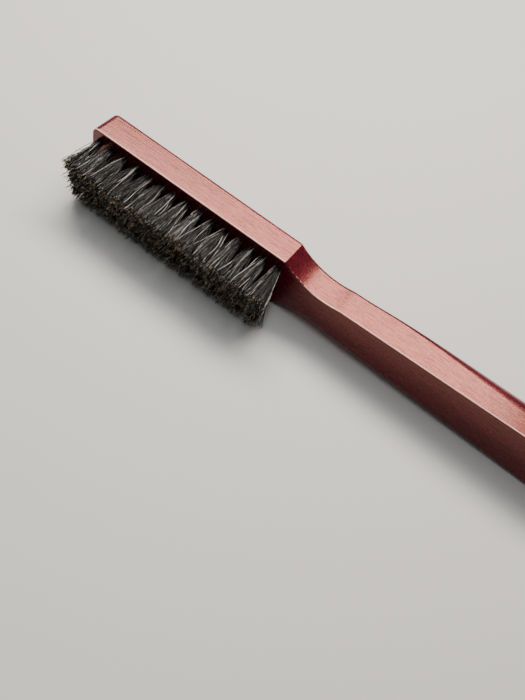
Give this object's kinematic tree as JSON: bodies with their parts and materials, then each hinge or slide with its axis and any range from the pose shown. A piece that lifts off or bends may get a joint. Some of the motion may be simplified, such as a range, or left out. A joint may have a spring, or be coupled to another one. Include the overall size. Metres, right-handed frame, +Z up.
{
  "type": "neck brush",
  "caption": "Slim barber's neck brush: one-piece lacquered wooden head and tapering handle, with rows of dark bristle tufts anchored in blind holes in the head's face.",
  "frame": {"origin": "middle of the bounding box in X and Y, on the plane of the head's flat side that the brush lies on", "axes": "+X along the brush to the end of the handle, -Y the way the bristles point, +Z up through the width of the head"},
  "size_m": [0.218, 0.0378, 0.025],
  "materials": {
    "lacquered_wood": "dark mahogany red stain under a satin clear lacquer",
    "bristle": "natural dark bristle, grey-black shafts with paler cut tips",
    "anchor_wire": "plain drawn flat wire"
  },
  "bodies": {
    "root": {"brush_body": "lacquered_wood", "bristle_tuft_lower_01": "bristle", "bristle_tuft_lower_02": "bristle", "bristle_tuft_lower_03": "bristle", "bristle_tuft_lower_04": "bristle", "bristle_tuft_lower_05": "bristle", "bristle_tuft_lower_06": "bristle", "bristle_tuft_lower_07": "bristle", "bristle_tuft_lower_08": "bristle", "bristle_tuft_lower_09": "bristle", "bristle_tuft_lower_10": "bristle", "bristle_tuft_lower_11": "bristle", "bristle_tuft_lower_12": "bristle", "bristle_tuft_lower_13": "bristle", "bristle_tuft_lower_14": "bristle", "bristle_tuft_lower_15": "bristle", "bristle_tuft_middle_01": "bristle", "bristle_tuft_middle_02": "bristle", "bristle_tuft_middle_03": "bristle", "bristle_tuft_middle_04": "bristle", "bristle_tuft_middle_05": "bristle", "bristle_tuft_middle_06": "bristle", "bristle_tuft_middle_07": "bristle", "bristle_tuft_middle_08": "bristle", "bristle_tuft_middle_09": "bristle", "bristle_tuft_middle_10": "bristle", "bristle_tuft_middle_11": "bristle", "bristle_tuft_middle_12": "bristle", "bristle_tuft_middle_13": "bristle", "bristle_tuft_middle_14": "bristle", "bristle_tuft_middle_15": "bristle", "bristle_tuft_upper_01": "bristle", "bristle_tuft_upper_02": "bristle", "bristle_tuft_upper_03": "bristle", "bristle_tuft_upper_04": "bristle", "bristle_tuft_upper_05": "bristle", "bristle_tuft_upper_06": "bristle", "bristle_tuft_upper_07": "bristle", "bristle_tuft_upper_08": "bristle", "bristle_tuft_upper_09": "bristle", "bristle_tuft_upper_10": "bristle", "bristle_tuft_upper_11": "bristle", "bristle_tuft_upper_12": "bristle", "bristle_tuft_upper_13": "bristle", "bristle_tuft_upper_14": "bristle", "bristle_tuft_upper_15": "bristle", "wire_anchors": "anchor_wire"}
  },
  "joints": []
}
